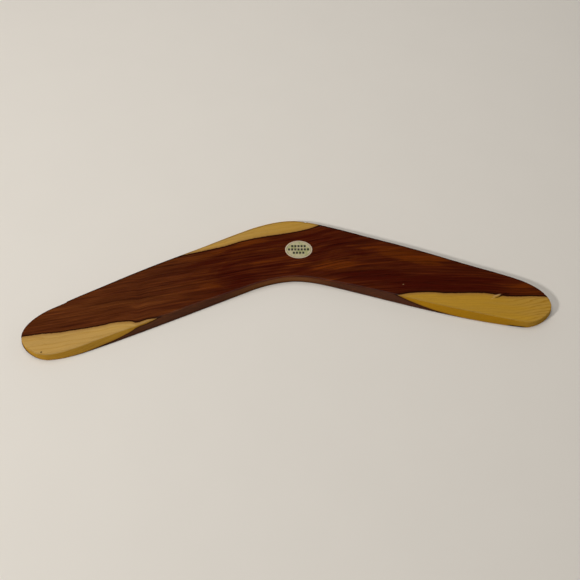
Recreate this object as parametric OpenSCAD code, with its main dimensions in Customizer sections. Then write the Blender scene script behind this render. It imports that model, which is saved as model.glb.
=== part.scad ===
// Returning boomerang shaped from one natural elbow of timber, with a small oval
// paper label glued on top of the elbow.
// X runs from tip to tip and Y towards the crown of the elbow. The flat side is
// down, on Z = 0, and the origin is the middle of the blade's box there.

/* [Plan shape] */
// Distance from tip to tip
span = 397; // [320:1:460]
// Distance from the crown of the elbow to the line across both heels
depth = 110.5; // [95:0.5:130]
// Width of the wood across the middle of the elbow
elbow_w = 56.75; // [48:0.25:62]

/* [Section] */
// Thickness of the blade
blade_t = 6; // [4.5:0.1:9]
// Height of the upright edge that is left under the bevel
land_h = 1.2; // [0.9:0.1:2]
// Width of the bevel at the elbow, where the edge is only rubbed round
bevel_elbow = 0.6; // [0.4:0.1:2]
// Width of the bevel half way along each arm
bevel_arm = 3.4; // [1:0.1:5]
// Width of the bevel at the tips
bevel_tip = 1.2; // [0.6:0.1:3]
// Size of the sanded corner under the edge
under_ease = 0.5; // [0.2:0.1:0.8]
// Size of the sanded corner where the bevel meets the top
top_ease = 0.35; // [0.2:0.05:0.6]

/* [Label] */
// Length of the oval paper label
label_l = 21.5; // [14:0.5:28]
// Width of the oval paper label
label_w = 17; // [10:0.5:20]
// Distance of the label from the middle of the span
label_x = 11.5; // [-20:0.5:20]
// Distance of the label from the middle of the depth
label_y = 25; // [12:0.5:36]
// Turn of the label's long side
label_turn = -4; // [-20:1:20]
// Thickness of the label's paper
paper_t = 0.12; // [0.08:0.01:0.3]
// Thickness of the glue film under the paper
film_t = 0.05; // [0.03:0.01:0.1]
// Distance that the glue film stops short of the paper's edge
film_inset = 0.3; // [0.1:0.1:1]

/* [Hidden] */

half_span = span / 2;
half_depth = depth / 2;
notch_h = depth - elbow_w;

// Share of the distance between two stations that each curve handle reaches
handle = 0.33;
// Number of points that each stretch between two stations is drawn with: the outer
// edge has 6 stretches and the inner edge 8, and both edges need as many points
outer_steps = 20;
inner_steps = 15;
// Sides of the label's oval
oval_sides = 72;
// Shares of half the span between which the bevel opens out along each arm, and
// between which it closes again towards the tip
bevel_opens = [0.075, 0.4];
bevel_closes = [0.655, 0.955];

// Stations of the outer edge, from the left nose over the crown to the right nose.
// Each is its place along X as a share of half the span, its drop below the crown
// as a share of the depth, and the edge's heading in degrees.
outer_stations = [
    [-1, 0.826, 90],         // left nose
    [-0.894, 0.618, 29],     // left shoulder
    [-0.179, 0.079, 18.5],   // left root of the elbow
    [0.025, 0, 0],           // crown
    [0.128, 0.034, -17],     // right root of the elbow
    [0.861, 0.595, -27.5],   // right shoulder
    [1, 0.848, -90]          // right nose
];
// Stations of the inner edge, from the right nose back to the left nose. Here the
// second number is the rise above the heels as a share of the notch's height.
inner_stations = [
    [0.887, 0, 180],         // right heel
    [0.849, 0.023, 167.5],   // right belly
    [0.174, 0.87, 160],      // right root of the notch
    [0.018, 1, 180],         // crotch
    [-0.144, 0.888, 200],    // left root of the notch
    [-0.7, 0.153, 198.5],    // left belly
    [-0.887, 0, 180]         // left heel
];

outer_route = [for (s = outer_stations) [s[0] * half_span, half_depth - s[1] * depth, s[2]]];
notch_route = [for (s = inner_stations) [s[0] * half_span, s[1] * notch_h - half_depth, s[2]]];
inner_route = concat([outer_route[6]], notch_route, [outer_route[0]]);

// Point at share t of the curve that leaves a and arrives at b on their headings
function curve_point(a, b, t) =
    let (
        start = [a[0], a[1]],
        end = [b[0], b[1]],
        reach = handle * norm(end - start),
        leave = start + reach * [cos(a[2]), sin(a[2])],
        arrive = end - reach * [cos(b[2]), sin(b[2])],
        s = 1 - t
    )
    s * s * s * start + 3 * s * s * t * leave + 3 * s * t * t * arrive + t * t * t * end;

// Points along a route of stations, without its last station
function route_points(route, steps) = [
    for (k = [0 : len(route) - 2])
        for (i = [0 : steps - 1])
            curve_point(route[k], route[k + 1], i / steps)
];

// The edge of the blade, clockwise seen from above, starting at the left nose
edge = concat(route_points(outer_route, outer_steps), route_points(inner_route, inner_steps));
edge_n = len(edge);
half_n = edge_n / 2;

// Unit vector that points into the wood, square to the edge, at point i
function inward(i) =
    let (along = edge[(i + 1) % edge_n] - edge[(i + edge_n - 1) % edge_n])
    [along[1], -along[0]] / norm(along);

// Smooth step from 0 to 1 as v goes from limits[0] to limits[1]
function ease_between(v, limits) =
    let (u = min(1, max(0, (v - limits[0]) / (limits[1] - limits[0]))))
    u * u * (3 - 2 * u);

// Width of the bevel at point i of the edge
function bevel_at(i) =
    let (out = abs(edge[i][0]) / half_span)
    bevel_elbow
    + (bevel_arm - bevel_elbow) * ease_between(out, bevel_opens)
    - (bevel_arm - bevel_tip) * ease_between(out, bevel_closes);

// The section at point i as [inset from the edge, height]: up the sanded corner to the
// upright land, then up the bevel and over its sanded top corner
function section(i) =
    let (
        b = bevel_at(i),
        share = 1 - top_ease / norm([b, blade_t - land_h])
    )
    [
        [under_ease, 0],
        [under_ease * 0.3, under_ease * 0.3],
        [0, under_ease],
        [0, land_h],
        [b * share, land_h + (blade_t - land_h) * share],
        [b + top_ease, blade_t]
    ];
// The rings of the section that the sanded corner and the bevel lie between
under_rings = [0, 2];
bevel_rings = [3, 5];

// Points of ring k round the whole blade
function ring(k) = [
    for (i = [0 : edge_n - 1])
        let (place = section(i)[k], p = edge[i] + place[0] * inward(i))
        [p[0], p[1], place[1]]
];

// Two triangles a point between ring k and the next ring
function wall(k) =
    let (low = k * edge_n, high = low + edge_n)
    [
        for (i = [0 : edge_n - 1])
            let (j = (i + 1) % edge_n)
            each [[low + i, low + j, high + j], [low + i, high + j, high + i]]
    ];

// Triangles that close ring k from above: strips from each stretch of the outer edge
// across to the stretch opposite on the inner edge
function cap(k) =
    let (first = k * edge_n)
    [
        for (i = [0 : half_n - 1])
            let (
                a = first + i,
                b = first + i + 1,
                c = first + edge_n - i - 1,
                d = first + (edge_n - i) % edge_n
            )
            each concat(b == c ? [] : [[a, b, c]], a == d ? [] : [[a, c, d]])
    ];

// The same faces seen from the other side
function turned(faces) = [for (f = faces) [f[2], f[1], f[0]]];

// Solid between the first and the last ring of the given pair
module loft(rings) {
    levels = rings[1] - rings[0];
    polyhedron(
        points = [for (k = [rings[0] : rings[1]]) each ring(k)],
        faces = concat([for (k = [0 : levels - 1]) each wall(k)], cap(levels), turned(cap(0))),
        convexity = 4
    );
}

// Flat oval of the given length, width and thickness, lying where the label is
module oval_sheet(length, width, thickness, bottom) {
    outline = [
        for (k = [0 : oval_sides - 1])
            let (a = 360 * k / oval_sides)
            [length / 2 * cos(a), width / 2 * sin(a)]
    ];
    translate([label_x, label_y, bottom])
        rotate([0, 0, label_turn])
            linear_extrude(height = thickness)
                polygon(outline);
}

// The whole blade: dark heartwood and pale sapwood grown together as one piece. It is
// a slab with upright walls, sanded off below and bevelled above.
module wood_blade() {
    color([0.3, 0.13, 0.07])
        union() {
            loft(under_rings);
            translate([0, 0, under_ease])
                linear_extrude(height = land_h - under_ease)
                    polygon(edge);
            loft(bevel_rings);
        }
}

// Film of glue between the wood and the paper
module label_adhesive() {
    color([0.85, 0.82, 0.7])
        oval_sheet(label_l - 2 * film_inset, label_w - 2 * film_inset, film_t, blade_t);
}

// Printed paper label
module paper_label() {
    color([0.8, 0.76, 0.6])
        oval_sheet(label_l, label_w, paper_t, blade_t + film_t);
}

wood_blade();
label_adhesive();
paper_label();
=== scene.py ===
"""A boomerang shaped from one natural elbow of mulga, with a small oval paper label.

The blade lies flat side down: X runs from tip to tip, Y towards the crown of the
elbow and Z up. Sizes are in millimetres, and a mesh becomes metres only when it is
handed to Blender. Only the lamps and the camera are placed in metres.
"""

import logging
import math
from dataclasses import dataclass, field
from enum import Enum
from typing import Any, Mapping, Sequence

import bpy
import numpy as np
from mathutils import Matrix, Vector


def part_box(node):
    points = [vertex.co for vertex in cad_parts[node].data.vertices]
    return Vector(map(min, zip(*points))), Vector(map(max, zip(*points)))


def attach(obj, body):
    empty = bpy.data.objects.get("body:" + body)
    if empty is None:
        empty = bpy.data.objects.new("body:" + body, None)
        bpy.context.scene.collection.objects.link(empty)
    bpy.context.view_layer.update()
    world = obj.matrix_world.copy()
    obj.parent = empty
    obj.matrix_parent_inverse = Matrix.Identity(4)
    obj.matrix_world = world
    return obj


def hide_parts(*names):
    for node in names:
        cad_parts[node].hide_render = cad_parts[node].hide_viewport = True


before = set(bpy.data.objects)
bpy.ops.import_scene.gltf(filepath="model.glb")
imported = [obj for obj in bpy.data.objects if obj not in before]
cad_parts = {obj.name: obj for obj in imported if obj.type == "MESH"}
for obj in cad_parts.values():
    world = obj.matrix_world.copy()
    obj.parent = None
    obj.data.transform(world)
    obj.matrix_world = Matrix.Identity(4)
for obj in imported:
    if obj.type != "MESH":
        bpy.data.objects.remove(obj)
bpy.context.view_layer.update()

MM = 0.001
BODY = "root"
log = logging.getLogger("boomerang")

Colour = tuple[float, float, float]
Point = tuple[float, float]
Range = tuple[float, float]


# ---- Shader sockets as numbers ----


class Wire:
    """A shader socket that can be used like a number, adding Math nodes as it goes."""

    def __init__(self, recipe: "Recipe", socket: bpy.types.NodeSocket) -> None:
        """Remember the node tree and the output socket that this wire stands for."""
        self.recipe = recipe
        self.socket = socket

    def __add__(self, other: "Wire | float") -> "Wire":
        """Sum of the two values."""
        return self.recipe.math("ADD", self, other)

    def __sub__(self, other: "Wire | float") -> "Wire":
        """This value less the other."""
        return self.recipe.math("SUBTRACT", self, other)

    def __rsub__(self, other: float) -> "Wire":
        """The other value less this one, as in 1 - mask."""
        return self.recipe.math("SUBTRACT", other, self)

    def __mul__(self, other: "Wire | float") -> "Wire":
        """Product of the two values."""
        return self.recipe.math("MULTIPLY", self, other)

    __radd__ = __add__
    __rmul__ = __mul__

    def least(self, other: "Wire | float") -> "Wire":
        """The smaller of the two values."""
        return self.recipe.math("MINIMUM", self, other)

    def most(self, other: "Wire | float") -> "Wire":
        """The larger of the two values."""
        return self.recipe.math("MAXIMUM", self, other)

    def size(self) -> "Wire":
        """This value without its sign."""
        return self.recipe.math("ABSOLUTE", self)

    def part(self) -> "Wire":
        """What is left of this value above the whole number below it."""
        return self.recipe.math("FRACT", self)

    def near(self, middle: float, half: float, soft: float) -> "Wire":
        """1 within `half` of the middle and 0 beyond, turning over `soft` on each side."""
        return (self - middle).size().rise(half + soft, half - soft)

    def rise(self, low: float, high: float) -> "Wire":
        """Smooth step from 0 to 1.

        Args:
            low: value at which the step starts.
            high: value at which it is complete; lower than `low` for a falling step.

        Returns:
            A value between 0 and 1.
        """
        if high < low:
            return 1.0 - self.rise(high, low)
        settings = {"interpolation_type": "SMOOTHSTEP"}
        inputs = {"Value": self, "From Min": low, "From Max": high}
        return Wire(self.recipe, self.recipe.node("ShaderNodeMapRange", settings, inputs).outputs[0])


class Recipe:
    """The node tree of a material or of the world, built through a few short methods."""

    def __init__(self, owner: bpy.types.Material | bpy.types.World) -> None:
        """Empty the owner's node tree.

        Args:
            owner: the material or world whose nodes are made.
        """
        owner.use_nodes = True
        self.owner = owner
        self.tree = owner.node_tree
        self.tree.nodes.clear()

    def node(self, kind: str, settings: Mapping[str, Any], inputs: Mapping[Any, Any]) -> bpy.types.Node:
        """Add a node, set it up and then fill its sockets.

        Args:
            kind: the node's type.
            settings: properties of the node, set before its sockets. `stops` are the
                points of a curve node's line, in rising order.
            inputs: value or wire for each socket, by name or by number.

        Returns:
            The new node.
        """
        node = self.tree.nodes.new(kind)
        for name, value in settings.items():
            if name == "stops":
                line = node.mapping.curves[0]
                line.points[0].location, line.points[1].location = value[0], value[-1]
                for stop in value[1:-1]:
                    line.points.new(*stop)
                node.mapping.update()
            else:
                setattr(node, name, value)
        for key, value in inputs.items():
            socket = node.inputs[key]
            if isinstance(value, Wire):
                self.tree.links.new(value.socket, socket)
            else:
                whole = socket.type == "RGBA" and len(value) == 3
                socket.default_value = (*value, 1.0) if whole else value
        return node

    def math(self, operation: str, *values: "Wire | float") -> Wire:
        """Add a Math node that works on the given values."""
        node = self.node("ShaderNodeMath", {"operation": operation}, dict(enumerate(values)))
        return Wire(self, node.outputs[0])

    def coordinates(self, kind: str) -> tuple[Wire, Wire, Wire]:
        """Where the shaded point is.

        Args:
            kind: the Texture Coordinate node's output that is read.

        Returns:
            The point's X, Y and Z.
        """
        where = self.node("ShaderNodeTexCoord", {}, {})
        parts = self.node("ShaderNodeSeparateXYZ", {}, {0: Wire(self, where.outputs[kind])})
        x, y, z = (Wire(self, output) for output in parts.outputs)
        return x, y, z

    def places(self) -> tuple[Wire, Wire, Wire]:
        """The point's own X, Y and Z on the piece, in millimetres."""
        x, y, z = self.coordinates("Object")
        return x * (1 / MM), y * (1 / MM), z * (1 / MM)

    def stored(self, mark: "Mark") -> Wire:
        """Value that the mesh stores under this mark."""
        node = self.node("ShaderNodeAttribute", {"attribute_name": mark.value}, {})
        return Wire(self, node.outputs["Fac"])

    def vector(self, x: "Wire | float", y: "Wire | float", z: "Wire | float" = 0.0) -> Wire:
        """Join three values into a vector."""
        node = self.node("ShaderNodeCombineXYZ", {}, {0: x, 1: y, 2: z})
        return Wire(self, node.outputs[0])

    def noise(self, at: Wire, detail: float = 2.0, roughness: float = 0.5) -> Wire:
        """Smooth noise with features about one unit across.

        Args:
            at: vector at which the noise is read.
            detail: number of finer layers laid over the first.
            roughness: how strongly each finer layer counts.

        Returns:
            A value that mostly lies between 0.25 and 0.75.
        """
        inputs = {"Vector": at, "Scale": 1.0, "Detail": detail, "Roughness": roughness}
        node = self.node("ShaderNodeTexNoise", {"noise_dimensions": "3D"}, inputs)
        return Wire(self, node.outputs[0])

    def drawn(self, value: Wire, points: Sequence[Point]) -> Wire:
        """A smooth line drawn through a few points.

        Args:
            value: where along the line to read it.
            points: places on the line as (value, height), in rising order.

        Returns:
            The line's height at the value, level past both ends.
        """
        xs, ys = np.array(points, float).T
        low, high = ys.min(), ys.max()
        stops = np.column_stack([(xs - xs[0]) / (xs[-1] - xs[0]), (ys - low) / (high - low)])
        share = (value - float(xs[0])) * (1.0 / float(xs[-1] - xs[0]))
        node = self.node("ShaderNodeFloatCurve", {"stops": stops}, {"Value": share})
        return Wire(self, node.outputs[0]) * float(high - low) + float(low)

    def mix(self, share: "Wire | float", first: "Wire | Colour", second: "Wire | Colour",
            blend: str = "MIX") -> Wire:
        """Blend two colours.

        Args:
            share: how much of the second colour shows, from 0 to 1.
            first: colour at share 0.
            second: colour at share 1.
            blend: the Mix node's way of blending.

        Returns:
            The blended colour.
        """
        settings = {"data_type": "RGBA", "blend_type": blend, "clamp_factor": True}
        node = self.node("ShaderNodeMix", settings, {0: share, 6: first, 7: second})
        return Wire(self, node.outputs[2])

    def shade(self, colour: "Wire | Colour", strength: Wire) -> Wire:
        """Multiply a colour by a plain value, lighter above 1 and darker below it."""
        inputs = {0: colour, "Scale": strength}
        return Wire(self, self.node("ShaderNodeVectorMath", {"operation": "SCALE"}, inputs).outputs[0])

    def bump(self, height: Wire, depth: float, strength: float) -> Wire:
        """Turn a height from 0 to 1 into a bent normal.

        Args:
            height: the height over the surface.
            depth: how many millimetres a height of 1 stands for.
            strength: how much of the bend is kept, from 0 to 1.

        Returns:
            The bent normal.
        """
        inputs = {"Strength": strength, "Distance": depth * MM, "Height": height}
        return Wire(self, self.node("ShaderNodeBump", {}, inputs).outputs[0])

    def surface(self, inputs: Mapping[str, Any]) -> bpy.types.Material:
        """Finish a material with a Principled surface.

        Args:
            inputs: value or wire for each of the shader's sockets.

        Returns:
            The material.
        """
        shader = self.node("ShaderNodeBsdfPrincipled", {}, inputs)
        self.node("ShaderNodeOutputMaterial", {}, {0: Wire(self, shader.outputs[0])})
        return self.owner

    def glow(self, inputs: Mapping[str, Any]) -> None:
        """Finish a world with a Background."""
        light = self.node("ShaderNodeBackground", {}, inputs)
        self.node("ShaderNodeOutputWorld", {}, {0: Wire(self, light.outputs[0])})


def new_recipe(name: str) -> Recipe:
    """Empty recipe for a new material of this name."""
    return Recipe(bpy.data.materials.new(name))


# ---- Meshes ----


class Mark(Enum):
    """Values from 0 to 1 that the blade's mesh stores for its finish."""

    RUB = "rub"
    # The side mark: 1 on the walls and bevels, which take painted reflection and painted shade on the
    # heartwood.
    SIDE = "side"
    # The rim mark: 1 round the outer edge, where painted shade darkens the rounded top corner.
    RIM = "rim"


def smooth_step(value: np.ndarray, low: float, high: float) -> np.ndarray:
    """Smooth step from 0 at `low` to 1 at `high`: 3 u^2 - 2 u^3 of the clipped share u."""
    u = np.clip((value - low) / (high - low), 0.0, 1.0)
    return u * u * (3.0 - 2.0 * u)


def grid_faces(index: np.ndarray) -> list[list[int]]:
    """Faces between the neighbouring points of a grid.

    Args:
        index: number of the vertex at each row and column. Where a row has shrunk to
            one point its vertices repeat, and the faces there become triangles.

    Returns:
        Lists of vertex numbers, anticlockwise where columns run right of rows.
    """
    quads = np.stack([index[:-1, :-1], index[1:, :-1], index[1:, 1:], index[:-1, 1:]], axis=-1)
    quads = quads.reshape(-1, 4)
    after = np.roll(quads, -1, axis=1)
    repeats = quads == after
    whole = quads[~repeats.any(axis=1)].tolist()
    pinched = repeats.sum(axis=1) == 1
    triangles = quads[pinched][~repeats[pinched]].reshape(-1, 3).tolist()
    return whole + triangles


def make_piece(name: str, points: np.ndarray, faces: list[list[int]],
               marks: Mapping[Mark, np.ndarray] | None = None) -> bpy.types.Object:
    """Make a smooth mesh piece whose place is in its mesh.

    Args:
        name: the piece's name.
        points: vertex places in millimetres, one row each.
        faces: vertex numbers of each face, anticlockwise from outside.
        marks: values to store on the vertices.

    Returns:
        The new object, at the origin and linked to the scene.
    """
    mesh = bpy.data.meshes.new(name)
    mesh.from_pydata((points * MM).tolist(), [], faces)
    mesh.validate()
    mesh.polygons.foreach_set("use_smooth", np.ones(len(mesh.polygons), bool))
    for mark, values in (marks or {}).items():
        layer = mesh.attributes.new(mark.value, "FLOAT", "POINT")
        layer.data.foreach_set("value", values.astype(np.float32))
    mesh.update()
    piece = bpy.data.objects.new(name, mesh)
    bpy.context.scene.collection.objects.link(piece)
    log.info("%s: %d points, %d faces", name, len(mesh.vertices), len(mesh.polygons))
    return piece


# ---- The plan of the boomerang ----


class Edge(Enum):
    """The two long edges of the boomerang between its noses."""

    OUTER = "outer"
    INNER = "inner"


@dataclass(frozen=True)
class Station:
    """A place that an edge passes through.

    `along` is the place on X as a share of half the span, `across` a share of the
    edge's own height, and `heading` the edge's direction there in degrees.
    """

    along: float
    across: float
    heading: float


@dataclass(frozen=True)
class PlanShape:
    """Outline of the boomerang, drawn as smooth curves from station to station."""

    span: float
    depth: float
    elbow_share: float = 56.75 / 110.5
    handle: float = 0.33
    outer: tuple[Station, ...] = (
        Station(-1, 0.826, 90),
        Station(-0.894, 0.618, 29),
        Station(-0.179, 0.079, 18.5),
        Station(0.025, 0, 0),
        Station(0.128, 0.034, -17),
        Station(0.861, 0.595, -27.5),
        Station(1, 0.848, -90),
    )
    inner: tuple[Station, ...] = (
        Station(0.887, 0, 180),
        Station(0.849, 0.023, 167.5),
        Station(0.174, 0.87, 160),
        Station(0.018, 1, 180),
        Station(-0.144, 0.888, 200),
        Station(-0.7, 0.153, 198.5),
        Station(-0.887, 0, 180),
    )

    def route(self, edge: Edge) -> np.ndarray:
        """Stations of an edge in millimetres and radians.

        The outer edge's height is a drop from the crown as a share of the depth, and
        the inner edge's a rise from the heels as a share of the notch's height.

        Args:
            edge: which edge.

        Returns:
            One row of x, y and heading for each station, from nose to nose.
        """
        half = self.span / 2
        outer = [(s.along * half, self.depth / 2 - s.across * self.depth, s.heading) for s in self.outer]
        if edge is Edge.OUTER:
            rows = outer
        else:
            notch = self.depth * (1 - self.elbow_share)
            inner = [(s.along * half, s.across * notch - self.depth / 2, s.heading) for s in self.inner]
            rows = [outer[-1], *inner, outer[0]]
        route = np.array(rows)
        route[:, 2] = np.radians(route[:, 2])
        return route

    def edge_points(self, edge: Edge, count: int) -> np.ndarray:
        """Evenly spaced points along an edge, without its last point.

        Each stretch is a cubic curve whose handles lie on the two headings and reach a
        fixed share of the distance between the stations.

        Args:
            edge: which edge.
            count: number of points.

        Returns:
            One row of x and y for each point.
        """
        route = self.route(edge)
        start, end = route[:-1], route[1:]
        reach = self.handle * np.hypot(*(end - start)[:, :2].T)[:, None]
        leave = start[:, :2] + reach * np.column_stack([np.cos(start[:, 2]), np.sin(start[:, 2])])
        arrive = end[:, :2] - reach * np.column_stack([np.cos(end[:, 2]), np.sin(end[:, 2])])
        t = np.linspace(0, 1, 400, endpoint=False)[None, :, None]
        s = 1 - t
        curve = (s**3 * start[:, None, :2] + 3 * s * s * t * leave[:, None]
                 + 3 * s * t * t * arrive[:, None] + t**3 * end[:, None, :2])
        fine = np.vstack([curve.reshape(-1, 2), end[-1, :2]])
        travelled = np.concatenate([[0], np.cumsum(np.hypot(*np.diff(fine, axis=0).T))])
        at = np.linspace(0, travelled[-1], count, endpoint=False)
        return np.column_stack([np.interp(at, travelled, fine[:, k]) for k in (0, 1)])


# ---- Finishes ----


@dataclass(frozen=True)
class Oval:
    """An oval on the top face: its middle, its length and width, and its turn in degrees."""

    x: float
    y: float
    length: float
    width: float
    turn: float = 0.0

    def own_axes(self, x: Wire, y: Wire) -> tuple[Wire, Wire]:
        """Read a place on the oval's own axes.

        Args:
            x: place along the span.
            y: place across it.

        Returns:
            Distance from the oval's middle along its length, and across it.
        """
        c, s = math.cos(math.radians(self.turn)), math.sin(math.radians(self.turn))
        dx, dy = x - self.x, y - self.y
        return dx * c + dy * s, dy * c - dx * s

    def reach(self, u: Wire, v: Wire) -> Wire:
        """Square of the way out along the oval's own axes: 0 in the middle, 1 on its line."""
        u, v = u * (2 / self.length), v * (2 / self.width)
        return u * u + v * v


@dataclass(frozen=True)
class Spot(Oval):
    """A small mark in the wood, which may be bent and shows with a strength of its own."""

    bend: float = 0.0
    strength: float = 0.85

    def mask(self, x: Wire, y: Wire) -> Wire:
        """Where the mark shows: a soft oval whose middle line is bent to a parabola.

        Args:
            x: place along the span.
            y: place across it.

        Returns:
            The strength inside the mark and 0 outside it.
        """
        u, v = self.own_axes(x, y)
        return self.reach(u, v - u * u * self.bend).rise(1.3, 0.5) * self.strength


@dataclass(frozen=True)
class Patch(Oval):
    """A soft oval area of the heartwood that is paler, or darker if `gain` is below 0."""

    gain: float = 0.0

    def tone(self, x: Wire, y: Wire) -> Wire:
        """How much the patch lifts the tone: its gain, fading out smoothly to its rim."""
        return self.reach(*self.own_axes(x, y)).rise(1.2, 0.0) * self.gain


@dataclass(frozen=True)
class Grain:
    """Where a point lies in the log, as shader wires in millimetres.

    `across` is the distance from the line half way between the heartwood's skins.
    `depth` grows from the nearer skin towards the pith and is negative in the sapwood,
    and `skin` is the distance inside that skin.
    """

    x: Wire
    y: Wire
    z: Wire
    across: Wire
    depth: Wire
    skin: Wire


@dataclass(frozen=True)
class Streak:
    """Noise drawn out along the grain: a streak's length and width, and its finer layers."""

    length: float
    width: float
    layers: int

    def noise(self, r: Recipe, g: Grain) -> Wire:
        """Read the streaks.

        Args:
            r: the material that is being made.
            g: where the point lies in the log.

        Returns:
            A value that mostly lies between 0.25 and 0.75.
        """
        along, across = 1 / self.length, 1 / self.width
        return r.noise(r.vector(g.x * along, g.across * across, g.z * across), self.layers, 0.55)

    def swing(self, r: Recipe, g: Grain, strength: float = 1.0) -> Wire:
        """The streaks as a swing to both sides of 0."""
        return (self.noise(r, g) - 0.5) * strength


@dataclass(frozen=True)
class Mulga:
    """Mulga under clear lacquer: dark red-brown heartwood between two pale sapwoods.

    The heartwood is a slice of a bent log. Its lower and upper skins are lines drawn
    over the top face, and both lean outwards going down, because the slice was cut
    well above the pith. A range goes from where a change starts to where it is
    complete, over the span, over the heartwood's tone or over the height.
    """

    thickness: float
    lean: float = 3.3
    pith_below: float = 119.0
    lower_skin: tuple[Point, ...] = (
        (-210, -36.0), (-196, -36.1), (-183, -36.4), (-160, -34.9), (-138, -32.4), (-122, -30.4),
        (-116.5, -30.8), (-114, -31.7), (-110, -30.9), (-103, -29.2), (-60, -27), (0, -25), (50, -23.2),
        (82, -22.6), (96, -21.9), (120, -24.1), (146, -26.2), (158, -28.5), (176, -31.6), (188, -31.8),
        (198, -31.2), (210, -30),
    )
    upper_skin: tuple[Point, ...] = (
        (-210, 3.5), (-120, 18.9), (-74, 27.3), (-51, 31.9), (-30, 37.4), (-16, 39.8), (0, 41.6),
        (12, 43), (23, 45.4), (31, 48), (60, 54), (90, 54), (140, 49), (210, 42),
    )
    deep: Colour = (0.050, 0.0044, 0.0012)
    plain: Colour = (0.066, 0.0098, 0.0022)
    brown: Colour = (0.090, 0.0205, 0.0044)
    tan: Colour = (0.128, 0.0340, 0.0064)
    umber: Colour = (0.058, 0.0115, 0.0032)
    orange: Colour = (0.122, 0.0230, 0.0018)
    dark_line: Colour = (0.018, 0.0030, 0.0010)
    pale: Colour = (0.52, 0.31, 0.085)
    golden: Colour = (0.48, 0.26, 0.027)
    growth_line: Colour = (0.36, 0.175, 0.016)
    fringe: Colour = (0.31, 0.150, 0.040)
    # Pale colour of the fleck, also used for the painted highlights along the knot.
    fleck: Colour = (0.55, 0.34, 0.16)
    side_tint: Colour = (0.82, 0.73, 0.34)
    # Painted reflection colours of the heartwood walls: a browner one inside the elbow and a grey haze
    # elsewhere.
    elbow_wall_reflection: Colour = (0.225, 0.085, 0.026)
    wall_reflection_grey: Colour = (0.088, 0.043, 0.026)
    worn: Colour = (0.22, 0.13, 0.06)
    wide: Streak = Streak(90, 5, 3)
    narrow: Streak = Streak(34, 1.3, 3)
    lines: Streak = Streak(75, 0.55, 2)
    fibre: Streak = Streak(9, 0.28, 2)
    dark_streak: Streak = Streak(40, 0.75, 2)
    soft: Streak = Streak(60, 5, 3)
    pale_fibre: Streak = Streak(8, 0.3, 2)
    ring_sway: Streak = Streak(70, 3, 2)
    pore: Streak = Streak(3.5, 0.16, 1)
    wear: Streak = Streak(22, 5, 3)
    left_arm: Range = (-40.0, -110.0)
    elbow_left: Range = (-60.0, -12.0)
    elbow_right: Range = (42.0, 4.0)
    stained: Range = (50.0, 95.0)
    yellowing: Range = (-150.0, 110.0)
    nose: Range = (158.0, 192.0)
    nose_rings: Range = (158.0, 206.0)
    nose_walls: Range = (158.0, 184.0)
    bright_tones: Range = (-0.02, 0.42)
    dark_tones: Range = (0.04, -0.32)
    top_side: Range = (3.0, 4.5)
    wall_foot: Range = (1.9, 1.2)
    patches: tuple[Patch, ...] = (
        Patch(102, 12, 66, 16, -15, gain=0.50), Patch(36, 8, 48, 12, 0, gain=0.40),
        Patch(10, 12, 26, 8, 4, gain=0.25), Patch(2, 7, 26, 9, 12, gain=0.20),
        Patch(-54, -3, 34, 11, 16, gain=0.14), Patch(-72, -5, 50, 16, 10, gain=0.12),
        Patch(-60, 25, 36, 8, 17, gain=0.25), Patch(-26, 34.5, 44, 6, 13, gain=0.28),
        Patch(180, -25, 44, 18, -20, gain=0.22), Patch(-62, 17, 40, 8, 14, gain=-0.28),
        Patch(-50, 12, 24, 7, 14, gain=-0.25), Patch(-8, 23, 62, 9, 8, gain=0.02),
        Patch(66, -4, 58, 13, 0, gain=-0.30), Patch(56, 20, 26, 9, -20, gain=-0.20),
        Patch(32, 33, 44, 12, -10, gain=-0.15), Patch(111, 4, 30, 6, -14, gain=0.20),
        Patch(122, -15, 120, 17, -5, gain=-0.34), Patch(-92, 9, 70, 10, 15, gain=-0.25),
    )
    # A dark sliver at the foot of the wall under the right nose.
    sliver: Spot = Spot(167.5, -54.0, 16.0, 4.4, strength=0.9)
    dark_spots: tuple[Spot, ...] = (
        Spot(-180.8, -51.2, 1.5, 1.2),
        Spot(161.2, -29.8, 11.0, 1.0, 22.0, bend=0.02),
        Spot(165.4, -28.5, 6.0, 1.3, -6.0),
    )
    # One pale fleck, then two pale streaks along the knot that are painted highlights.
    flecks_and_glints: tuple[Spot, ...] = (
        Spot(88.9, -13.9, 1.3, 0.8, strength=0.4),
        Spot(158.2, -29.0, 7.0, 1.0, 14.0, strength=0.7),
        Spot(154.5, -31.3, 5.0, 0.6, 24.0, strength=0.4),
    )

    def grain(self, r: Recipe) -> Grain:
        """Place the point in the log.

        The depth is the distance below the heartwood's skin measured square to the
        growth rings: the product of the distances from both skins over twice the
        distance of the pith. Both skins wander slowly and are ragged close up.

        Args:
            r: the material that is being made.

        Returns:
            The wires that the rest of the finish reads.
        """
        x, y, z = r.places()
        wander = r.noise(r.vector(x * 0.045, z * 0.2, y * 0.03), 3.0, 0.55) - 0.5
        ragged = r.noise(r.vector(x * 0.45, z * 0.5, y * 0.1), 2.0, 0.6) - 0.5
        sway = wander * 0.8 + ragged * 0.7
        spread = (self.thickness - z) * self.lean + sway
        above = y - r.drawn(x, self.lower_skin) + spread
        below = r.drawn(x, self.upper_skin) - y + spread
        ripple = (r.noise(r.vector(x * 0.02, y * 0.09, z * 0.09), 2.0) - 0.5) * 1.5
        depth = above * below * (0.5 / self.pith_below) + ripple
        return Grain(x, y, z, (above - below) * 0.5, depth, above.least(below))

    def tone(self, r: Recipe, g: Grain) -> Wire:
        """How pale the heartwood is: growth bands, streaks and patches added up.

        Args:
            r: the material that is being made.
            g: where the point lies in the log.

        Returns:
            A value to both sides of 0, which stands for the middle colour.
        """
        bands = r.noise(r.vector(g.depth * 1.3, g.x * 0.006, g.z * 0.02), 3.0, 0.6)
        tone = bands - 0.5 + self.wide.swing(r, g, 0.9) + self.narrow.swing(r, g, 0.8)
        for patch in self.patches:
            tone = tone + patch.tone(g.x, g.y)
        return tone

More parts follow.
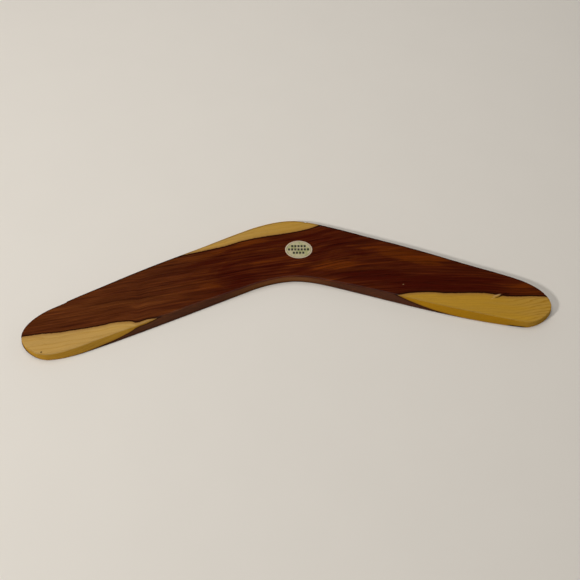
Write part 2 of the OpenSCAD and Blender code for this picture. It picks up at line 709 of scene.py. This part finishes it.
    def heartwood(self, r: Recipe, g: Grain) -> Wire:
        """Colour of the heartwood: by tone, then shaded by fine streaks and lines.

        Args:
            r: the material that is being made.
            g: where the point lies in the log.

        Returns:
            The colour, which is browner on the left arm.
        """
        left = g.x.rise(*self.left_arm)
        tone = self.tone(r, g)
        colour = r.mix(left, self.plain, self.brown)
        colour = r.mix(tone.rise(*self.bright_tones), colour, r.mix(left, self.orange, self.tan))
        colour = r.mix(tone.rise(*self.dark_tones), colour, r.mix(left, self.deep, self.umber))
        streaks = self.narrow.swing(r, g) + self.lines.swing(r, g, 1.5) + self.fibre.swing(r, g, 0.9)
        colour = r.shade(colour, 1.0 + streaks)
        return r.mix(self.dark_streak.noise(r, g).rise(0.57, 0.70) * 0.5, colour, self.dark_line)

    def heart_edges(self, r: Recipe, g: Grain, side: Wire, colour: Wire) -> Wire:
        """Paint reflection and shade onto the heartwood's walls, and darken it along its skin.

        The walls are greyer than the top and browner inside the elbow, which is a painted reflection of
        the bright table in them, and darker towards their foot, which is painted shade. Along the skin
        runs a dark line, which is stained on the right arm.

        Args:
            r: the material that is being made.
            g: where the point lies in the log.
            side: 1 on the walls and 0 on the top.
            colour: the heartwood's colour.

        Returns:
            The colour with its walls and lines.
        """
        elbow = g.x.rise(*self.elbow_left) * g.x.rise(*self.elbow_right)
        # Painted reflection and shade: the walls have no coat, so a grey haze, and a browner colour
        # inside the elbow, stand in for the bright table reflected in them, and painted shade darkens
        # them towards their foot.
        colour = r.mix(side * 0.55, colour, self.wall_reflection_grey)
        colour = r.mix(side * elbow * 0.72, colour, self.elbow_wall_reflection)
        colour = r.shade(colour, 1.0 - side * g.z.rise(3.4, 0.4) * (0.12 + elbow * 0.45))
        stain = g.skin.rise(3.0, 0.8) * g.x.rise(*self.stained)
        colour = r.mix(stain * 0.55, colour, self.dark_line)
        return r.mix(g.skin.near(0.6, 0.625, 0.325) * 0.85, colour, self.dark_line)

    def sapwood(self, r: Recipe, g: Grain) -> Wire:
        """Colour of the sapwood, yellower to the right, with growth lines at the right nose.

        Args:
            r: the material that is being made.
            g: where the point lies in the log.

        Returns:
            The colour.
        """
        soft = self.soft.swing(r, g)
        nose = g.x.rise(*self.nose)
        sway = self.ring_sway.noise(r, g) * 1.3
        ring = (g.depth * 0.95 - g.x.rise(*self.nose_rings) * 3.0 + sway).part()
        line = ring.rise(0.55, 0.92) * ring.rise(1.0, 0.93)
        yellow = g.x.rise(*self.yellowing) - nose * 0.3 + soft * 0.8
        colour = r.mix(yellow, self.pale, self.golden)
        colour = r.mix(line * (0.3 + nose * 0.6), colour, self.growth_line)
        colour = r.shade(colour, 1.0 + self.pale_fibre.swing(r, g, 0.35) + soft * 0.3)
        return r.mix(g.skin.rise(-2.8, -0.1) * 0.7, colour, self.fringe)

    def marks(self, r: Recipe, g: Grain, colour: Wire) -> Wire:
        """Lay small marks over the wood's colour.

        Args:
            r: the material that is being made.
            g: where the point lies in the log.
            colour: the wood's colour.

        Returns:
            The colour with the sliver at the foot of a wall and the spots on the top, two of them
            painted highlights along the knot.
        """
        foot, top = g.z.rise(*self.wall_foot), g.z.rise(*self.top_side)
        layers = [(self.sliver, foot, self.dark_line)]
        layers += [(spot, top, self.dark_line) for spot in self.dark_spots]
        # The pale spots: one fleck, and two painted highlights along the knot.
        layers += [(spot, top, self.fleck) for spot in self.flecks_and_glints]
        for spot, level, tint in layers:
            colour = r.mix(spot.mask(g.x, g.y) * level, colour, tint)
        return colour

    def dress(self, piece: bpy.types.Object) -> None:
        """Give a piece this finish.

        Args:
            piece: the piece. Its mesh stores the marks RUB, 1 where its upper edge is worn, SIDE, 1 on
                the walls and bevels, which are tinted darker and more saturated on the sapwood and take
                painted reflection and painted shade on the heartwood, and the rim mark, 1 round the
                outer edge, where painted shade darkens the rounded corner.
        """
        r = new_recipe("lacquered_mulga")
        g = self.grain(r)
        rub, side, rim = (r.stored(mark) for mark in (Mark.RUB, Mark.SIDE, Mark.RIM))
        heart = g.skin.rise(-0.28, 0.28)
        heartwood = self.heart_edges(r, g, side, self.heartwood(r, g))
        colour = r.mix(heart, self.sapwood(r, g), heartwood)
        pores = self.pore.noise(r, g).rise(0.66, 0.74)
        colour = r.mix(pores * 0.3, colour, self.dark_line)
        colour = self.marks(r, g, colour)
        pale_side = side * (1.0 - heart) * (1.0 - g.x.rise(*self.nose_walls) * 0.75)
        colour = r.mix(pale_side, colour, self.side_tint, "MULTIPLY")
        worn = rub * self.wear.noise(r, g).rise(0.42, 0.66)
        colour = r.mix(worn * 0.05, colour, self.worn)
        height = self.fibre.noise(r, g) * 0.6 + 0.4 - pores * 0.4
        piece.data.materials.append(r.surface({
            # Painted shade: the rim mark darkens the rounded corner along the outer edge, most on the
            # heartwood.
            "Base Color": r.shade(colour, 1.0 - rim * (0.15 + heart * 0.62)),
            "Roughness": 0.38 + worn * 0.2,
            "Specular IOR Level": 0.0,
            "Coat Weight": (1.0 - rub) * (1.0 - side) * 0.75,
            "Coat Roughness": 0.13,
            "Coat IOR": 1.5,
            "Normal": r.bump(height, 0.03, 0.5),
        }))


@dataclass(frozen=True)
class PrintedPaper:
    """Aged cream paper with a thin printed border and three rows of plain dashes.

    Each row of dashes is where it starts and ends along the label, and its number of
    dashes. The border and the paler edge lie at shares of the way out to the rim.
    """

    shape: Oval
    cream: Colour = (0.50, 0.44, 0.27)
    green: Colour = (0.36, 0.36, 0.16)
    edge: Colour = (0.58, 0.46, 0.33)
    ink: Colour = (0.012, 0.010, 0.008)
    border: float = 0.80
    row_gap: float = 3.2
    row_height: float = 2.1
    rows: tuple[tuple[float, float, int], ...] = ((-6.2, 6.2, 5), (-8.8, 8.8, 7), (-5.0, 5.0, 4))

    def printing(self, u: Wire, v: Wire) -> Wire:
        """Where the label is printed.

        Args:
            u: place along the label.
            v: place across it.

        Returns:
            1 on the dashes, less on the border and 0 elsewhere.
        """
        printed = self.shape.reach(u, v).near(self.border, 0.035, 0.015) * 0.45
        for number, (start, end, count) in enumerate(self.rows):
            in_row = v.near(self.row_gap * (1 - number), self.row_height / 2, 0.15)
            within = u.near((start + end) / 2, (end - start) / 2, 0.1)
            stroke = ((u - start) * (count / (end - start))).part().near(0.45, 0.345, 0.035)
            printed = printed.most(in_row * within * stroke)
        return printed

    def dress(self, piece: bpy.types.Object) -> None:
        """Give a piece this finish.

        Args:
            piece: the label's paper.
        """
        r = new_recipe("printed_paper")
        x, y, z = r.places()
        u, v = self.shape.own_axes(x, y)
        cloud = r.noise(r.vector(u * 0.22, v * 0.22), 3.0, 0.6)
        fleck = r.noise(r.vector(u * 3.0, v * 3.0, z), 2.0)
        colour = r.mix(cloud.rise(0.44, 0.62), self.cream, self.green)
        colour = r.shade(colour, 1.0 + (fleck - 0.5) * 0.3)
        colour = r.mix(self.shape.reach(u, v).rise(self.border, 0.90), colour, self.edge)
        printed = self.printing(u, v)
        worn = r.noise(r.vector(u * 1.4, v * 1.4, 4.0), 2.0).rise(0.30, 0.42)
        piece.data.materials.append(r.surface({
            "Base Color": r.mix(printed * (worn * 0.25 + 0.72), colour, self.ink),
            "Roughness": 0.6 - printed * 0.15,
            "Specular IOR Level": 0.3,
            "Normal": r.bump(fleck, 0.02, 0.4),
        }))


@dataclass(frozen=True)
class DriedGlue:
    """Thin cloudy film of dried glue."""

    clear: Colour = (0.55, 0.46, 0.28)
    cloudy: Colour = (0.70, 0.64, 0.50)

    def dress(self, piece: bpy.types.Object) -> None:
        """Give a piece this finish.

        Args:
            piece: the film of glue.
        """
        r = new_recipe("dried_glue")
        x, y, z = r.places()
        cloud = r.noise(r.vector(x * 0.6, y * 0.6, z), 3.0, 0.6)
        piece.data.materials.append(r.surface({
            "Base Color": r.mix(cloud.rise(0.35, 0.65), self.clear, self.cloudy),
            "Roughness": 0.35 + cloud * 0.3,
            "Normal": r.bump(cloud, 0.02, 0.4),
        }))


# ---- The blade ----


@dataclass(frozen=True)
class Nick:
    """A small loss from the top of the outer edge.

    The wood is cut back by `deep` at `x`. The cut runs out slowly over `before` on
    the left and over `after` on the right.
    """

    x: float
    deep: float
    before: float
    after: float

    def loss(self, x: np.ndarray) -> np.ndarray:
        """Depth of the cut at each place: `deep` times a smooth step up and down."""
        rising = smooth_step(x, self.x - self.before, self.x)
        return self.deep * rising * smooth_step(x, self.x + self.after, self.x)


@dataclass
class Blade:
    """The whole piece of timber: flat below, bevelled and hand sanded above.

    Where the bevel opens and closes, the corner sharpens and the tips fall away is given as shares of
    half the span. The worn rings, and the rings of the outer corner that are darkened with painted
    shade, are counted down from the rim of the top face.
    """

    low: np.ndarray
    high: np.ndarray
    edge_count: int = 780
    cap_count: int = 44
    under_rings: int = 6
    bevel_rings: int = 6
    corner_rings: int = 7
    land: float = 1.2
    under_ease: float = 0.55
    bevel_elbow: float = 0.6
    bevel_arm: float = 3.4
    bevel_tip: float = 1.2
    bevel_opens: Range = (0.075, 0.4)
    bevel_closes: Range = (0.655, 0.955)
    bulge: float = 0.10
    corner_elbow: float = 1.07
    corner_arm: float = 0.32
    corner_sharpens: Range = (0.1, 0.36)
    crown: float = 0.12
    tip_drop: float = 0.5
    tip_falls: Range = (0.9, 1.02)
    sanded_off: float = 0.03
    wave_count: int = 7
    wave_length: Range = (24.0, 80.0)
    wave_height: float = 0.008
    rub_ring: float = 2.2
    rub_spread: float = 2.5
    # Rings of the outer corner that are darkened with painted shade, counted down from the top.
    shaded_rim_rings: Range = (8, 4)
    nicks: tuple[Nick, ...] = (Nick(-169.0, 0.55, 16.0, 1.6), Nick(19.6, 0.55, 1.6, 1.2))
    plan: PlanShape = field(init=False)
    thickness: float = field(init=False)
    waves: np.ndarray = field(init=False)
    piece: bpy.types.Object = field(init=False)

    def __post_init__(self) -> None:
        """Work out the plan from the frame's box, and the sanding waves."""
        size = self.high - self.low
        self.plan = PlanShape(span=float(size[0]), depth=float(size[1]))
        self.thickness = float(size[2])
        dice = np.random.default_rng(11)
        angle = dice.uniform(0, math.pi, self.wave_count)
        length = dice.uniform(*self.wave_length, self.wave_count)
        phase = dice.uniform(0, 1, self.wave_count)
        self.waves = np.column_stack([np.cos(angle) / length, np.sin(angle) / length, phase])

    def out_share(self, x: np.ndarray) -> np.ndarray:
        """Distance from the middle of the span as a share of half of it."""
        return np.abs(x) / (self.plan.span / 2)

    def bevel(self, x: np.ndarray) -> np.ndarray:
        """Width of the bevel: narrow at the elbow, widest half way out, narrow at the tips.

        Args:
            x: places along the span.

        Returns:
            The elbow's width, plus a smooth step to the arm's and one to the tip's.
        """
        out = self.out_share(x)
        opens = (self.bevel_arm - self.bevel_elbow) * smooth_step(out, *self.bevel_opens)
        closes = (self.bevel_arm - self.bevel_tip) * smooth_step(out, *self.bevel_closes)
        return self.bevel_elbow + opens - closes

    def top_height(self, points: np.ndarray, across: np.ndarray) -> np.ndarray:
        """Height of the top face.

        The face is flat in the middle and falls by the crown towards both edges as
        the fourth power of the distance. It drops away over the tips, and a few long
        shallow waves stand for hand sanding.

        Args:
            points: places in plan.
            across: share of the way from the outer edge to the inner one.

        Returns:
            The height at each place.
        """
        rim = np.abs(2 * across - 1) ** 4
        tip = smooth_step(self.out_share(points[..., 0]), *self.tip_falls) ** 1.5
        phase = points @ self.waves[:, :2].T + self.waves[:, 2]
        wave = self.wave_height * np.sin(2 * math.pi * phase).sum(axis=-1) * (1 - rim)
        return (self.thickness - self.sanded_off - self.crown * rim - self.tip_drop * tip
                + np.minimum(wave, self.sanded_off * 0.8))

    def section(self, edge: np.ndarray, inward: np.ndarray) -> np.ndarray:
        """Rings of points from the underside to the rim of the top face.

        At each point of the edge the profile is a quarter round under the land, the
        upright land, a bevel that bulges very slightly, and a corner rounded as a
        parabola between the bevel and the top.

        Args:
            edge: the outline in plan.
            inward: unit vectors into the wood at its points.

        Returns:
            Points as (ring, point on the outline, x y z).
        """
        count = len(edge)
        outer_only = np.arange(count) < self.edge_count
        loss = sum(nick.loss(edge[:, 0]) for nick in self.nicks) * outer_only
        rim = self.top_height(edge, np.zeros(count))
        b = self.bevel(edge[:, 0])
        sharp = smooth_step(self.out_share(edge[:, 0]), *self.corner_sharpens)
        ease = self.corner_elbow + (self.corner_arm - self.corner_elbow) * sharp
        share = 1 - np.minimum(ease / np.hypot(b, rim - self.land), 0.5)

        quarter = np.linspace(0, math.pi / 2, self.under_rings)[:, None]
        under = self.under_ease * (1 - np.sin(quarter)), self.under_ease * (1 - np.cos(quarter))
        upright = np.zeros((1, 1)), np.full((1, 1), (self.under_ease + self.land) / 2)
        climb = np.linspace(0, 1, self.bevel_rings)[:, None]
        bulge = self.bulge * np.sin(math.pi * climb) * b / self.bevel_arm
        slope = climb * share * b - bulge, self.land + climb * share * (rim - self.land)
        turn = np.linspace(0, 1, self.corner_rings + 1)[1:, None]
        start, middle, end = (1 - turn) ** 2, 2 * turn * (1 - turn), turn**2
        corner = (start * share * b + middle * b + end * (b + ease),
                  start * (self.land + share * (rim - self.land)) + (middle + end) * rim)
        parts = (under, upright, slope, corner)
        inset, height = (np.vstack([np.broadcast_to(part[k], (len(part[k]), count)) for part in parts])
                         for k in (0, 1))
        inset = inset + loss * smooth_step(height / rim, 0.15, 0.9)
        flat = edge[None] + inset[..., None] * inward[None]
        return np.concatenate([flat, height[..., None]], axis=-1)

    def cap(self, rim: np.ndarray, first: int, fresh: int, upper: bool) -> tuple[np.ndarray, np.ndarray]:
        """Sheet of points that closes a ring, with rows running across the arm.

        Args:
            rim: the ring that the sheet closes.
            first: number of the ring's first vertex.
            fresh: number that the sheet's own first vertex will have.
            upper: whether it is the top face, with its crown, or the flat underside.

        Returns:
            The new points, and the grid of vertex numbers that includes the ring's.
        """
        rows = self.edge_count
        opposite = (2 * rows - np.arange(rows + 1)) % (2 * rows)
        even = np.linspace(0, 1, self.cap_count + 1)
        across = 0.5 * even + 0.25 * (1 - np.cos(math.pi * even))
        near, far = rim[: rows + 1, None], rim[opposite, None]
        sheet = near + (far - near) * across[None, :, None]
        if upper:
            share = np.broadcast_to(across, sheet.shape[:2])
            plan = sheet[..., :2]
            sheet[..., 2] += self.top_height(plan, share) - self.top_height(plan, np.zeros_like(share))
        index = np.empty(sheet.shape[:2], int)
        inner = sheet[1:-1, 1:-1]
        index[1:-1, 1:-1] = fresh + np.arange(inner.shape[0] * inner.shape[1]).reshape(inner.shape[:2])
        index[:, 0] = first + np.arange(rows + 1)
        index[:, -1] = first + opposite
        index[0], index[-1] = first, first + rows
        return inner.reshape(-1, 3), index

    def wear(self, rings: int, count: int) -> dict[Mark, np.ndarray]:
        """Where the blade is worn, where its walls are, and where shade is painted on its outer corner.

        Counting the rings down from the rim of the top face, the rub is a bell curve, the side a smooth
        step over the rounded corner, and the rim, which carries painted shade, a smooth step times a
        hump that is flat along the outer edge and falls to 0 at both noses.

        Args:
            rings: number of rings.
            count: number of points on each.

        Returns:
            A value for each ring and point, by mark.
        """
        down = np.arange(rings - 1, -1, -1)[:, None]
        even = np.ones(count)
        hump = np.sin(math.pi * np.clip(np.arange(count) / self.edge_count, 0, 1)) ** 0.25
        return {
            Mark.RUB: np.exp(-(((down - self.rub_ring) / self.rub_spread) ** 2)) * even,
            Mark.SIDE: smooth_step(down, 0, self.corner_rings) * even,
            # Painted shade along the outer corner, fading out at both noses.
            Mark.RIM: smooth_step(down, *self.shaded_rim_rings) * hump,
        }

    def build(self) -> None:
        """Make the mesh: walls ring by ring, then a sheet over the top and one below."""
        edge = np.vstack([self.plan.edge_points(e, self.edge_count) for e in (Edge.OUTER, Edge.INNER)])
        along = np.roll(edge, -1, axis=0) - np.roll(edge, 1, axis=0)
        inward = np.column_stack([along[:, 1], -along[:, 0]]) / np.hypot(*along.T)[:, None]
        walls = self.section(edge, inward)
        rings, count = walls.shape[:2]
        index = np.arange(rings * count).reshape(rings, count)
        closed = np.concatenate([index, index[:, :1]], axis=1)
        top, top_index = self.cap(walls[-1], (rings - 1) * count, rings * count, True)
        bottom, bottom_index = self.cap(walls[0], 0, rings * count + len(top), False)
        points = np.vstack([walls.reshape(-1, 3), top, bottom])
        points[:, :2] += (self.low[:2] + self.high[:2]) / 2
        faces = grid_faces(closed.T) + grid_faces(top_index[::-1]) + grid_faces(bottom_index)
        spare = np.zeros(len(top) + len(bottom))
        # Besides the rub, these carry the walls and the outer corner that take painted reflection and
        # painted shade.
        marks = {mark: np.concatenate([worn.ravel(), spare])
                 for mark, worn in self.wear(rings, count).items()}
        self.piece = make_piece("timber_blade", points, faces, marks)

    def finish(self) -> None:
        """Lacquer the blade and put it in the frame's place."""
        Mulga(thickness=self.thickness).dress(self.piece)
        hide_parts("wood_blade")
        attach(self.piece, BODY)


# ---- The label ----


@dataclass
class Label:
    """Oval paper label and the film of glue that holds it on the blade."""

    blade: Blade
    low: np.ndarray
    high: np.ndarray
    length: float = 21.5
    width: float = 17.0
    turn: float = -4.0
    paper: float = 0.11
    film: float = 0.03
    film_inset: float = 0.35
    curl: float = 0.02
    spokes: int = 180
    rings: int = 14
    centre: np.ndarray = field(init=False)

    def __post_init__(self) -> None:
        """Find the label's middle from the frame's box of its paper."""
        self.centre = (self.low[:2] + self.high[:2]) / 2

    def oval(self, name: str, inset: float, bottom: float, thickness: float,
             curl: float) -> bpy.types.Object:
        """Thin oval sheet that follows the wood, with a rounded rim.

        The sheet is a grid of rings and spokes: the radius runs out over the upper
        side, round the rim and back over the lower side, and the height is the wood's
        own height plus the sheet's.

        Args:
            name: the piece's name.
            inset: distance that the sheet stops short of the label's outline.
            bottom: height of its lower side over the wood.
            thickness: its thickness.
            curl: how far the rim lifts at its loosest stretch.

        Returns:
            The new piece.
        """
        angle = np.linspace(0, 2 * math.pi, self.spokes, endpoint=False)[None]
        out = np.linspace(0, 1, self.rings + 1)[1:, None] ** 0.7
        turn = np.linspace(-math.pi / 2, math.pi / 2, 5)[1:-1, None]
        rim_out = 1 + np.cos(turn) * thickness / self.length
        radius = np.vstack([out, rim_out, out[::-1]])
        side = np.vstack([np.zeros_like(out), 0.5 + 0.5 * np.sin(turn), np.ones_like(out)])
        u = (self.length / 2 - inset - thickness / 2) * radius * np.cos(angle)
        v = (self.width / 2 - inset - thickness / 2) * radius * np.sin(angle)
        lift = curl * smooth_step(radius, 0.75, 1.0) * (0.5 + 0.5 * np.sin(2 * angle + 0.6))
        c, s = math.cos(math.radians(self.turn)), math.sin(math.radians(self.turn))
        plan = self.centre + np.stack([u * c - v * s, u * s + v * c], axis=-1)
        wood = self.blade.top_height(plan, np.full(plan.shape[:2], 0.5))
        height = wood + bottom + side * thickness + lift
        points = np.concatenate([plan, height[..., None]], axis=-1).reshape(-1, 3)
        middle = np.array([self.centre, self.centre])
        flat = self.blade.top_height(middle, np.full(2, 0.5))
        poles = np.column_stack([middle, flat + bottom + np.array([0.0, thickness])])
        index = np.arange(len(points)).reshape(-1, self.spokes)
        low_pole = np.full((1, self.spokes), len(points))
        grid = np.vstack([low_pole, index, low_pole + 1])
        grid = np.concatenate([grid, grid[:, :1]], axis=1)
        return make_piece(name, np.vstack([points, poles]), grid_faces(grid.T))

    def build(self) -> None:
        """Make the film and the paper, and put both in the frame's place."""
        film = self.oval("glue_film", self.film_inset, 0.0, self.film, 0.0)
        DriedGlue().dress(film)
        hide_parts("label_adhesive")
        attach(film, BODY)
        paper = self.oval("oval_label", 0.0, self.film, self.paper, self.curl)
        PrintedPaper(Oval(*self.centre.tolist(), self.length, self.width, self.turn)).dress(paper)
        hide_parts("paper_label")
        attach(paper, BODY)


# ---- The studio ----


@dataclass(frozen=True)
class Lamp:
    """An area light: where it stands, its size, its power and whether gloss shows it."""

    name: str
    place: tuple[float, float, float]
    size: float
    power: float
    colour: Colour
    in_gloss: bool

    def build(self) -> None:
        """Hang the light so that it faces the middle of the object."""
        data = bpy.data.lights.new(self.name, "AREA")
        data.shape = "DISK"
        data.size = self.size
        data.energy = self.power
        data.color = self.colour
        lamp = bpy.data.objects.new(self.name, data)
        bpy.context.scene.collection.objects.link(lamp)
        x, y, z = self.place
        lamp.location = self.place
        lamp.rotation_euler = (math.atan2(math.hypot(x, y), z), 0.0, math.atan2(y, x) + math.pi / 2)
        lamp.visible_glossy = self.in_gloss


@dataclass(frozen=True)
class Studio:
    """Plain pale table, soft light and the camera."""

    table_size: float = 3000.0
    table_cells: int = 60
    table_gap: float = 0.02
    table_colour: Colour = (0.80, 0.755, 0.69)
    room_colour: Colour = (1.0, 0.98, 0.95)
    room_light: float = 0.44
    room_slope: Point = (0.22, 0.24)
    room_fades: Range = (0.3, 0.62)
    room_above: float = 0.02
    camera_place: tuple[float, float, float] = (-0.01773, -0.2658, 0.41277)
    camera_tilt: float = 32.0
    camera_turn: float = -4.384
    lens: float = 38.98
    lamps: tuple[Lamp, ...] = (
        Lamp("key", (-1.40, -0.62, 0.93), 0.22, 18.0, (1.0, 0.985, 0.96), True),
        Lamp("fill", (-0.15, 0.35, 1.25), 1.5, 9.8, (1.0, 0.985, 0.96), False),
    )

    def table(self) -> None:
        """Lay the table just under the blade, as a flat grid with faintly cloudy paint."""
        line = np.linspace(-self.table_size / 2, self.table_size / 2, self.table_cells + 1)
        x, y = np.meshgrid(line, line, indexing="ij")
        points = np.stack([x, y, np.full_like(x, -self.table_gap)], axis=-1).reshape(-1, 3)
        table = make_piece("table", points, grid_faces(np.arange(x.size).reshape(x.shape)))
        r = new_recipe("table_paint")
        along, across, _ = r.places()
        cloud = r.noise(r.vector(along * 0.02, across * 0.02), 3.0)
        table.data.materials.append(r.surface({
            "Base Color": r.shade(self.table_colour, 0.985 + cloud * 0.03),
            "Roughness": 0.55,
            "Specular IOR Level": 0.2,
        }))

    def room(self) -> None:
        """Light the room softly.

        The light grows towards the right and the back, and fades in a smooth step from
        low to high up, so that gloss stays deep.
        """
        world = bpy.data.worlds.new("room")
        bpy.context.scene.world = world
        r = Recipe(world)
        x, y, z = r.coordinates("Generated")
        fade = 1.0 - z.rise(*self.room_fades) * (1.0 - self.room_above)
        light = x * self.room_slope[0] + y * self.room_slope[1] + self.room_light
        r.glow({"Color": self.room_colour, "Strength": light * fade})

    def camera(self) -> None:
        """Stand the camera in front of the table, looking down at the boomerang."""
        data = bpy.data.cameras.new("camera")
        data.lens = self.lens
        data.sensor_width = 36.0
        data.clip_start = 0.01
        camera = bpy.data.objects.new("camera", data)
        bpy.context.scene.collection.objects.link(camera)
        camera.location = self.camera_place
        camera.rotation_euler = (math.radians(self.camera_tilt), 0.0, math.radians(self.camera_turn))
        bpy.context.scene.camera = camera

    def build(self) -> None:
        """Set up everything that isn't part of the object."""
        self.camera()
        self.table()
        self.room()
        for lamp in self.lamps:
            lamp.build()
        bpy.context.scene.view_settings.view_transform = "Standard"
        log.info("studio: %d lamps", len(self.lamps))


def node_box(node: str) -> tuple[np.ndarray, np.ndarray]:
    """Lowest and highest corner of a frame node in millimetres."""
    low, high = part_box(node)
    return np.array(low) / MM, np.array(high) / MM


def main() -> None:
    """Build the studio, the blade and its label."""
    logging.basicConfig(level=logging.INFO, format="%(name)s: %(message)s")
    Studio().build()
    blade = Blade(*node_box("wood_blade"))
    blade.build()
    blade.finish()
    log.info("blade: %.1f by %.1f by %.1f mm", blade.plan.span, blade.plan.depth, blade.thickness)
    label = Label(blade, *node_box("paper_label"))
    label.build()
    log.info("label: %.1f by %.1f mm", label.length, label.width)


if __name__ == "__main__":
    main()
